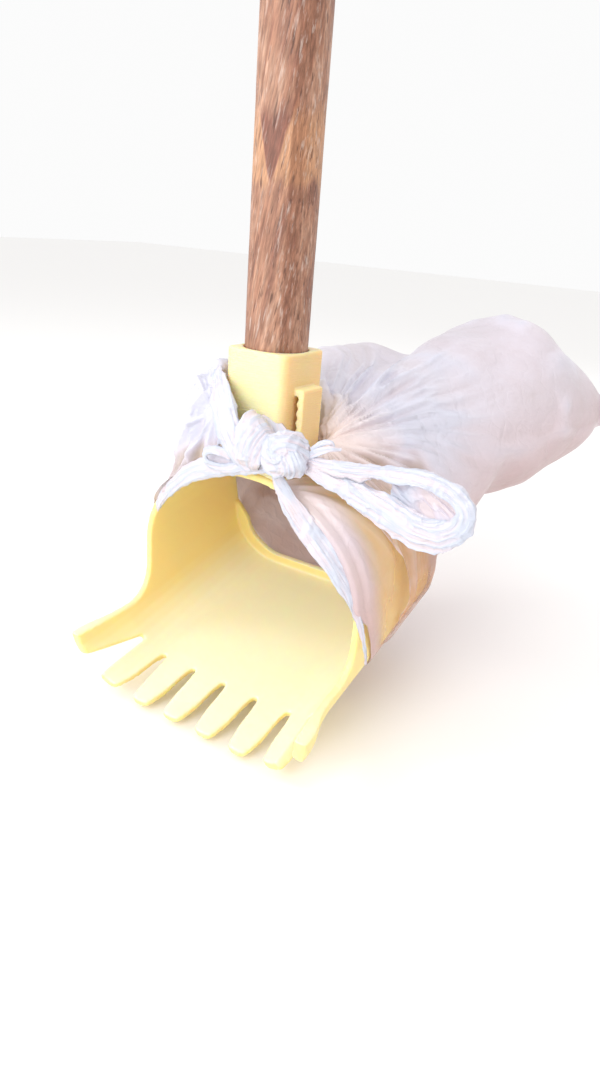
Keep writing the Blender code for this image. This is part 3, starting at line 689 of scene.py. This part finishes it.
def make_pole():
    """The pole with its faint raised grain and rounded ends."""
    low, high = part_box("pole")
    radius = (high.x - low.x) / 2 / MM
    length = (high.z - low.z) / MM
    heights = [-length * i / POLE_ROWS for i in range(POLE_ROWS + 1)]
    edge = [math.pi / 2 * k / POLE_EDGE_STEPS for k in range(POLE_EDGE_STEPS + 1)]
    top = [(radius - POLE_END_EDGE * (1 - math.sin(angle)),
            -POLE_END_EDGE * (1 - math.cos(angle))) for angle in edge]
    body = [(radius, h) for h in heights if -length + POLE_END_EDGE < h < -POLE_END_EDGE]
    bottom = [(r, -length - h) for r, h in reversed(top)]
    rings = top + body + bottom
    work = bmesh.new()
    rows = []
    for ring_radius, height in rings:
        row = []
        for i in range(POLE_SIDES):
            angle = 2 * math.pi * i / POLE_SIDES
            spot = Vector((math.cos(angle) * POLE_GRAIN_TURN, math.sin(angle) * POLE_GRAIN_TURN,
                           height * POLE_GRAIN_STRETCH))
            grain = noise.fractal(spot, 0.8, 2.0, 3) * POLE_GRAIN_DEPTH
            reach = min(radius, ring_radius + grain - 0.5 * POLE_GRAIN_DEPTH)
            row.append(work.verts.new((reach * math.cos(angle) * MM, reach * math.sin(angle) * MM,
                                       high.z + height * MM)))
        rows.append(row)
    for upper, lower in zip(rows, rows[1:]):
        for i in range(POLE_SIDES):
            j = (i + 1) % POLE_SIDES
            work.faces.new((upper[i], lower[i], lower[j], upper[j]))
    work.faces.new(rows[0])
    work.faces.new(rows[-1][::-1])
    bmesh.ops.recalc_face_normals(work, faces=work.faces)
    mesh = bpy.data.meshes.new("wooden_pole")
    work.to_mesh(mesh)
    work.free()
    mesh.shade_smooth()
    mesh.materials.append(wood_material())
    pole = new_object("wooden_pole", mesh)
    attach(pole, "pole")
    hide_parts("pole")


# ---------------------------------------------------------------- film shapes


def value_noise(points, size, seed):
    """Smooth random values between about -1 and 1, with features of a size in millimetres."""
    table = np.random.default_rng(seed).uniform(-1, 1, (NOISE_CELLS,) * 3)
    cell = np.asarray(points) / size
    base = np.floor(cell).astype(int)
    part = cell - base
    part = part * part * (3 - 2 * part)
    total = np.zeros(part.shape[:-1])
    for corner in np.ndindex(2, 2, 2):
        weight = np.prod(np.where(corner, part, 1 - part), axis=-1)
        index = (base + corner) % NOISE_CELLS
        total += weight * table[index[..., 0], index[..., 1], index[..., 2]]
    return total


def ridges(points, size, seed):
    """Sharp crests with smooth hollows between them, 0 to 1."""
    return np.clip(1 - RIDGE_SHARPNESS * np.abs(value_noise(points, size, seed)), 0, 1)


def ridge_sum(points, seed, ridge_sets, unit_size=1):
    """Ridges of several sizes and heights added up, each with the next random numbers."""
    return sum(height * ridges(points, size * unit_size, seed + i)
               for i, (size, height) in enumerate(ridge_sets))


def follow(knots, t):
    """A smooth curve through a list of equal arrays, at t from 0 to their count less 1."""
    padded = [2 * knots[0] - knots[1], *knots, 2 * knots[-1] - knots[-2]]
    i = min(int(t), len(knots) - 2)
    f = t - i
    a, b, c, d = padded[i:i + 4]
    return 0.5 * (2 * b + (c - a) * f + (2 * a - 5 * b + 4 * c - d) * f ** 2
                  + (3 * b - a - 3 * c + d) * f ** 3)


def through(table, count):
    """Rows of numbers joined by a smooth curve, read at evenly spaced steps."""
    knots = [np.array(row, float) for row in table]
    return np.array([follow(knots, t) for t in np.linspace(0, len(knots) - 1, count)])


def grid_normals(grid, around=False):
    down = np.gradient(grid, axis=0)
    if around:
        across = (np.roll(grid, -1, 1) - np.roll(grid, 1, 1)) / 2
    else:
        across = np.gradient(grid, axis=1)
    return unit(np.cross(across, down))


def film_object(name, grid, density, material, body, around=False, caps=False):
    """A film surface from rows of points in socket millimetres; density says how gathered it is."""
    rows, columns, _ = grid.shape
    points = grid.reshape(-1, 3) * MM + np.array(SOCKET_TOP)
    index = np.arange(rows * columns).reshape(rows, columns)
    loop = np.concatenate([index, index[:, :1]], axis=1) if around else index
    faces = stack(loop[:-1, :-1], loop[:-1, 1:], loop[1:, 1:], loop[1:, :-1])
    faces = faces.reshape(-1, 4).tolist()
    if caps:
        faces += [index[0][::-1].tolist(), index[-1].tolist()]
    mesh = bpy.data.meshes.new(name)
    mesh.from_pydata(points.tolist(), [], faces)
    layer = mesh.attributes.new(DENSITY, 'FLOAT', 'POINT')
    layer.data.foreach_set("value", np.broadcast_to(density, (rows, columns)).ravel().tolist())
    home = mesh.attributes.new(REST_PLACE, 'FLOAT_VECTOR', 'POINT')
    home.data.foreach_set("vector", points.ravel().tolist())
    mesh.shade_smooth()
    mesh.materials.append(material)
    piece = new_object(name, mesh)
    if body:
        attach(piece, body)
    return piece


def from_scoop(across, up, forward):
    """Scoop measurements in millimetres, as socket millimetres."""
    tilt_sin, tilt_cos = math.sin(SCOOP_TILT), math.cos(SCOOP_TILT)
    return stack(across, SCOOP_ORIGIN[1] - up * tilt_sin - forward * tilt_cos,
                 SCOOP_ORIGIN[2] + up * tilt_cos - forward * tilt_sin)


def to_scoop(points):
    """Socket millimetres as scoop measurements: across, up and forward."""
    tilt_sin, tilt_cos = math.sin(SCOOP_TILT), math.cos(SCOOP_TILT)
    y = points[..., 1] - SCOOP_ORIGIN[1]
    z = points[..., 2] - SCOOP_ORIGIN[2]
    return points[..., 0], -y * tilt_sin + z * tilt_cos, -y * tilt_cos - z * tilt_sin


def hood_outline():
    """The hood's outside across the tool, as angles about its crown's middle and reaches."""
    straight = HOOD_HALF_WIDTH - HOOD_CORNER
    corner = np.linspace(-math.pi / 2, 0, 24)
    crown = np.linspace(0, math.pi, 90)
    right = stack(straight + HOOD_CORNER * np.cos(corner),
                  HOOD_CORNER - HOOD_WALL + HOOD_CORNER * np.sin(corner))
    top = stack(HOOD_HALF_WIDTH * np.cos(crown),
                HOOD_BASE + (HOOD_TOP - HOOD_BASE) * np.sin(crown))
    left = right[::-1] * (-1, 1)
    bottom = np.linspace(left[-1], right[0], 40)[1:-1]
    outline = np.concatenate([right, top[1:-1], left, bottom])
    angle = np.arctan2(outline[:, 1] - HOOD_BASE, outline[:, 0])
    order = np.argsort(angle)
    return angle[order], np.hypot(outline[:, 0], outline[:, 1] - HOOD_BASE)[order]


def hood_reach(angle):
    """How far the hood's outside is from its crown's middle, in some direction."""
    angles, reaches = hood_outline()
    return np.interp((angle + math.pi) % (2 * math.pi) - math.pi, angles, reaches,
                     period=2 * math.pi)


def hood_point(angle, clearance, forward):
    reach = hood_reach(angle) + clearance
    return from_scoop(reach * np.cos(angle), HOOD_BASE + reach * np.sin(angle), forward)


def keep_outside(grid, clearance):
    """Push film that would be inside the hood out to its surface."""
    across, up, forward = to_scoop(grid)
    angle = np.arctan2(up - HOOD_BASE, across)
    reach = np.hypot(across, up - HOOD_BASE)
    beside = forward > -HOOD_LENGTH - 1
    reach = np.where(beside, np.maximum(reach, hood_reach(angle) + clearance), reach)
    return from_scoop(reach * np.cos(angle), HOOD_BASE + reach * np.sin(angle), forward)


def fan(points, gather, outward):
    """Directions in degrees and distances of points as they spread from a gather."""
    outward = unit(np.array(outward, float))
    rearward = unit(np.array((0, 1, 0)) - outward * outward[1])
    sideways = np.cross(rearward, outward)
    away = points - np.array(gather)
    angle = np.degrees(np.arctan2(away @ sideways, away @ rearward))
    return angle, np.linalg.norm(away, axis=-1)


# ---------------------------------------------------------------- bag


def hem_forward(up, table):
    """How far forward the bag's hem reaches at each height, and how far that is behind the rim."""
    height, behind = np.array(table).T
    behind = np.interp(up, height, behind)
    rim = -(HEM_SETBACK - SCOOP_ORIGIN[1] + up * math.sin(SCOOP_TILT)) / math.cos(SCOOP_TILT)
    return np.array((rim - behind, behind))


def make_collar(material):
    """Film stretched over the outside of the hood, its hem folded over the front rim."""
    turn = np.radians(np.linspace(90 - COLLAR_OPENING, COLLAR_OPENING - 270, COLLAR_COLUMNS))
    flat = hood_point(turn, COLLAR_CLEARANCE, 0 * turn)
    up = HOOD_BASE + (hood_reach(turn) + COLLAR_CLEARANCE) * np.sin(turn)
    hem, behind = np.where(np.cos(turn) > 0, hem_forward(up, HEM_RIGHT),
                           hem_forward(up, HEM_LEFT))
    back = np.linspace(0, 1, COLLAR_ROWS)[:, None]
    forward = hem + (-COLLAR_REAR - hem) * back
    arc = np.concatenate([[0], np.cumsum(np.linalg.norm(np.diff(flat, axis=0), axis=-1))])
    lift = np.zeros(forward.shape)
    depth = hood_point(turn, 0, forward)[..., 1]
    for around, (start, gather_y, seed) in zip((arc, arc[-1] - arc), COLLAR_FANS):
        away = np.hypot(depth - gather_y, around + start)
        angle = np.degrees(np.arctan2(depth - gather_y, around + start))
        folds = ridge_sum(stack(angle, away * FOLD_STRETCH, 0), seed, COLLAR_FOLDS)
        lift += (folds * ease(*COLLAR_FOLDS_GROW, away) * (1 - ease(*COLLAR_FOLDS_FADE, away))
                 * (1 - ease(*COLLAR_FOLDS_REAR, depth)))
    lift *= ease(0, 0.05, back)
    grid = hood_point(turn, COLLAR_CLEARANCE + lift, forward)
    over = 1 - ease(0.2, 3, behind)
    curl = [hood_point(turn, COLLAR_CLEARANCE - inward * over, hem + onward * over)
            for inward, onward in HEM_CURL]
    grid = np.concatenate([np.array(curl), grid])
    streaks = np.concatenate([0 * np.array(curl)[..., 0], lift / 3])
    hem_density = np.concatenate([np.ones(len(curl)), 1 - ease(0, 0.24, back[:, 0])])[:, None]
    density = 0.6 * hem_density + 0.3 * streaks * (1 - 0.5 * hem_density)
    collar = film_object("bag_collar_film", grid, density, material, "head")
    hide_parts("bag_collar")


def angle_table(table, angles):
    """Points given at some angles round the bag, at all angles."""
    keys = np.array([row[0] for row in table], float)
    points = np.array([row[1:] for row in table], float)
    order = np.argsort(keys)
    keys, points = keys[order], points[order]
    keys = np.concatenate([keys - 360, keys, keys + 360])
    points = np.concatenate([points] * 3)
    slopes = np.gradient(points, keys, axis=0)
    place = np.clip(np.searchsorted(keys, angles) - 1, 0, len(keys) - 2)
    span = (keys[place + 1] - keys[place])[:, None]
    t = (angles - keys[place])[:, None] / span
    start, end = points[place], points[place + 1]
    leave, arrive = slopes[place] * span, slopes[place + 1] * span
    return ((2 * t ** 3 - 3 * t ** 2 + 1) * start + (t ** 3 - 2 * t ** 2 + t) * leave
            + (3 * t ** 2 - 2 * t ** 3) * end + (t ** 3 - t ** 2) * arrive)


def belly_ring(angles, middle_x, middle_y, middle_z, half_width, half_height, lean, turn):
    """An oval ring of film that leans forward at its top and is turned about the vertical."""
    spin = np.array(Matrix.Rotation(-math.radians(turn), 3, 'Z')
                    @ Matrix.Rotation(math.radians(lean), 3, 'X'))
    angles = np.radians(angles)
    flat = stack(half_width * np.cos(angles), 0, half_height * np.sin(angles))
    return np.array((middle_x, middle_y, middle_z)) + flat @ spin.T


def valley(grid):
    """How far the film sinks between the bag's two lobes, less where the rear lobe swells."""
    line = through(VALLEY_LINE, VALLEY_STEPS)
    depths = np.interp(np.linspace(0, 1, VALLEY_STEPS), np.linspace(0, 1, len(VALLEY_DEPTH)),
                       VALLEY_DEPTH)
    gap = np.linalg.norm(grid[..., None, :2] - line, axis=-1)
    nearest = gap.argmin(axis=-1)
    sink = depths[nearest] * np.exp(-(gap.min(axis=-1) / VALLEY_WIDTH) ** 2)
    lobe_x, lobe_y, lobe_size, swell = REAR_LOBE
    away = np.hypot(grid[..., 0] - lobe_x, grid[..., 1] - lobe_y) / lobe_size
    return (sink - swell * np.exp(-away ** 2)) * ease(*VALLEY_HEIGHT, grid[..., 2])


def make_body(material):
    """The bag itself: gathered at the knots, over the hood's shoulders, and bulging behind."""
    angles = np.linspace(-180, 180, BODY_COLUMNS, endpoint=False)
    knots = [angle_table(BODY_FRONT, angles), angle_table(BODY_SHOULDER, angles)]
    knots += [belly_ring(angles, *row) for row in BELLY_RINGS]
    steps = np.concatenate([np.linspace(0, 2, BODY_SAIL_ROWS, endpoint=False),
                            np.linspace(2, len(knots) - 1, BODY_BELLY_ROWS)])
    grid = np.array([follow(knots, t) for t in steps])
    normals = -grid_normals(grid, around=True)
    steps = steps[:, None]
    lift = np.zeros(grid.shape[:2])
    across, up, forward = to_scoop(grid)
    off_hood = np.hypot(across, up - HOOD_BASE) - hood_reach(np.arctan2(up - HOOD_BASE, across))
    tight = (1 - ease(*BODY_TIGHT, off_hood)) * ease(-HOOD_LENGTH - 4, -HOOD_LENGTH + 4, forward)
    density = BODY_LOOSE * (1 - tight)
    for gather, outward, width, near, far, depth, seed in BODY_GATHERS:
        angle, away = fan(grid, gather, outward)
        where = stack(angle, away * BODY_PLEAT_STRETCH, 0)
        pleats = ridge_sum(where, seed, BODY_PLEATS, width)
        share = ease(1, near, away) * (1 - ease(near, far, away))
        lift += depth * (pleats - 0.5) * share
        density += (1 - ease(4, far, away)) * (0.1 + 0.4 * pleats)
    density += 0.35 * (1 - ease(0, 0.07, steps))
    sway = sum(value_noise(grid, size, seed) * deep for size, deep, seed in BODY_SWAY)
    lift += sway * ease(1.2, 3.0, steps)
    creases = ridges(grid * (1, 0.5, 1), 17, 43) * ridges(grid, 30, 44)
    lift += creases * BODY_CREASE_DEPTH * ease(2.2, 4, steps)
    density += creases * BODY_CREASE_GATHERED
    lift -= valley(grid)
    grid = grid + normals * lift[..., None]
    grid = keep_outside(grid, BODY_CLEARANCE)
    body = film_object("bag_body_film", grid, np.clip(density, 0, 1), material, None, around=True)
    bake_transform(body)
    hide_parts("bag_belly", "bag_left_wing", "bag_right_wing")


# ---------------------------------------------------------------- knots and strands


def ribbon(path, columns, rows, pleat, depth, seed):
    """A pleated strand of gathered film.

    Each row of the path is x, y, z, width, thickness and the direction its flat side faces.
    """
    along = through(path, rows)
    middle, width, thick = along[:, :3], along[:, 3:4], along[:, 4:5]
    ahead = unit(np.gradient(middle, axis=0))
    face = along[:, 5:8]
    face = unit(face - ahead * np.sum(face * ahead, -1, keepdims=True))
    side = np.cross(ahead, face)
    length = np.concatenate([[0], np.cumsum(np.linalg.norm(np.diff(middle, axis=0), axis=-1))])
    turn = np.linspace(0, 2 * math.pi, columns, endpoint=False)[None]
    flat_x, flat_y = np.cos(turn), np.sin(turn)
    slide = flat_x * width / 2
    where = stack(slide, np.sign(flat_y) * FACES_APART, length[:, None] * FOLD_STRETCH)
    folds = ridge_sum(where, seed, STRAND_FOLDS, pleat)
    body = (middle[:, None] + side[:, None] * slide[..., None]
            + face[:, None] * (flat_y * thick / 2)[..., None])
    outward = unit(side[:, None] * (flat_x * thick)[..., None]
                   + face[:, None] * (flat_y * width)[..., None])
    sway_size, sway = STRAND_SWAY
    crumple = (ridge_sum(body, seed + 2, STRAND_CRUMPLE)
               + sway * value_noise(body, sway_size, seed + 4)) - 0.6
    lift = (folds - 0.6 + crumple) * depth
    return body + outward * lift[..., None], np.clip(0.55 + 0.45 * folds, 0, 1)


def make_strand(name, material, body, path, replaces=(), pleat=1.5,
                depth=0.45, seed=50, columns=110, rows=150):
    grid, density = ribbon(path, columns, rows, pleat, depth, seed)
    strand = film_object(name, grid, density, material, body, around=True, caps=True)
    if replaces:
        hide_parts(*replaces)


def make_main_knot(material):
    """A pulled-tight overhand knot: a gathered strand that winds twice through itself."""
    rows = []
    for step in range(KNOT_STEPS + 1):
        t = math.pi * (0.5 + 2 * step / KNOT_STEPS)
        reach = KNOT_RING + KNOT_WAVE * math.cos(3 * t)
        across, up = reach * math.cos(2 * t + KNOT_START), reach * math.sin(2 * t + KNOT_START)
        deep = KNOT_DEPTH * math.sin(3 * t)
        spot = (KNOT_MIDDLE[0] + across, KNOT_MIDDLE[1] - deep, KNOT_MIDDLE[2] + up * KNOT_TALL)
        facing = (math.cos(2 * t + KNOT_START), -1.2 * math.sin(3 * t) - 0.6,
                  math.sin(2 * t + KNOT_START))
        rows.append((*spot, KNOT_STRAND_WIDTH, KNOT_STRAND_THICKNESS, *facing))
    make_strand("bag_knot_film", material, "head", rows, ("bag_knot",), pleat=1.7, depth=0.8,
                seed=60, columns=120, rows=420)


def make_knots(material):
    """The half knot, the main knot, the gathered edges that lead to them, and loose ends."""
    make_main_knot(material)
    for name, replaced, seed, pleat, depth, path in KNOT_STRANDS:
        make_strand(name, material, "head", path, replaced, seed=seed, pleat=pleat, depth=depth)


def make_bow(material):
    """The loop of handle film pulled through the knot, and the film crumpled inside its tip."""
    make_strand("bow_loop_film", material, "bow", BOW_LOOP, ("bag_bow_loop",), pleat=1.9,
                depth=0.65, seed=80, columns=150, rows=460)
    rows = np.linspace(0, 1, 120)[:, None]
    upper = through(BOW_POCKET_TOP, 160)[None]
    lower = through(BOW_POCKET_BOTTOM, 160)[None]
    grid = upper + (lower - upper) * rows[..., None]
    hollow = np.sin(math.pi * rows)
    where = stack(grid[..., 0] * 0.5 + grid[..., 2] * 0.9, grid[..., 0] * 0.25, 7)
    folds = ridge_sum(where, 90, BOW_POCKET_FOLDS)
    crumple = value_noise(grid, 5, 92) * 1.2
    grid = grid + stack(0, -(folds - 0.5) * BOW_POCKET_DEPTH * hollow - crumple * hollow
                        + BOW_POCKET_SETBACK * hollow, 0)
    pocket = film_object("bow_pocket_film", grid, np.clip(0.5 + 0.4 * folds, 0, 1), material, "bow")


# ---------------------------------------------------------------- stage


def soft_light(name, place, target, size, power, colour):
    lamp = bpy.data.lights.new(name, 'AREA')
    lamp.shape = 'DISK'
    lamp.size = size
    lamp.energy = power
    lamp.color = colour
    light = new_object(name, lamp)
    light.location = place
    light.rotation_euler = (target - place).to_track_quat('-Z', 'Y').to_euler()


def make_stage():
    """A pale floor just below the tool, a studio's even light, and three soft lights."""
    floor_mesh = bpy.data.meshes.new("studio_floor")
    work = bmesh.new()
    bmesh.ops.create_grid(work, x_segments=1, y_segments=1, size=FLOOR_SIZE)
    bmesh.ops.translate(work, vec=(0, 0, cad_low.z - FLOOR_DROP), verts=work.verts)
    work.to_mesh(floor_mesh)
    work.free()
    pale = Nodes("studio_floor")
    pale.set(Base_Color=FLOOR_COLOUR, Roughness=FLOOR_ROUGHNESS)
    floor_mesh.materials.append(pale.material)
    new_object("studio_floor", floor_mesh)

    world = bpy.data.worlds.new("studio")
    bpy.context.scene.world = world
    world.use_nodes = True
    background = world.node_tree.nodes["Background"]
    background.inputs["Strength"].default_value = WORLD_STRENGTH
    tree = world.node_tree
    direction = tree.nodes.new("ShaderNodeTexCoord").outputs["Generated"]
    side = tree.nodes.new("ShaderNodeVectorMath")
    side.operation = 'DOT_PRODUCT'
    side.inputs[1].default_value = WARM_SIDE
    tree.links.new(direction, side.inputs[0])
    tint = tree.nodes.new("ShaderNodeValToRGB")
    for element, (position, colour) in zip(tint.color_ramp.elements, WARM_TINT):
        element.position = position
        element.color = (*colour, 1)
    tree.links.new(side.outputs["Value"], tint.inputs["Fac"])
    tree.links.new(tint.outputs["Color"], background.inputs["Color"])

    for name, place, size, power, colour in LIGHTS:
        soft_light(name, at(*place), at(*LIGHT_TARGET), size, power, colour)


def make_camera():
    lens = bpy.data.cameras.new("camera")
    lens.sensor_width = CAMERA_SENSOR
    lens.lens = CAMERA_LENS
    lens.clip_start = 0.01
    camera = new_object("camera", lens)
    turn = Matrix.Rotation(math.radians(CAMERA_AZIMUTH), 4, 'Z')
    tip = Matrix.Rotation(math.radians(90 - CAMERA_ELEVATION), 4, 'X')
    roll = Matrix.Rotation(math.radians(CAMERA_ROLL), 4, 'Z')
    camera.matrix_world = Matrix.Translation(at(*CAMERA_PLACE)) @ turn @ tip @ roll
    bpy.context.scene.camera = camera


make_camera()
make_stage()
bpy.context.scene.view_settings.view_transform = 'Standard'

scoop_turn = Matrix.Rotation(SCOOP_TILT, 4, 'X')
make_pole()
softened("printed_scoop", "scoop", SCOOP_VOXEL, SCOOP_SOFTENING, scoop_turn,
         printed_material("printed_scoop", SCOOP_PALE, SCOOP_SHADE_AMBER, painted_hood_shade,
                          *SCOOP_LAYERS, (SCOOP_TILT + math.pi / 2, 0, 0)),
         fuller_tines)
softened("printed_socket", "pole_socket", SOCKET_VOXEL, SOCKET_SOFTENING, Matrix.Identity(4),
         printed_material("printed_socket", SOCKET_PALE, SOCKET_SHADE_AMBER, painted_side_shade,
                          *SOCKET_LAYERS, (0, 0, 0)))

bag_film = film_material("bag_film", BAG_WHITE, least=0.26, painted_warmth=1.0)
make_collar(bag_film)
make_body(bag_film)
knotted_film = film_material("knotted_film", KNOT_WHITE, least=0.92, painted_warmth=0.1)
make_knots(knotted_film)
make_bow(knotted_film)
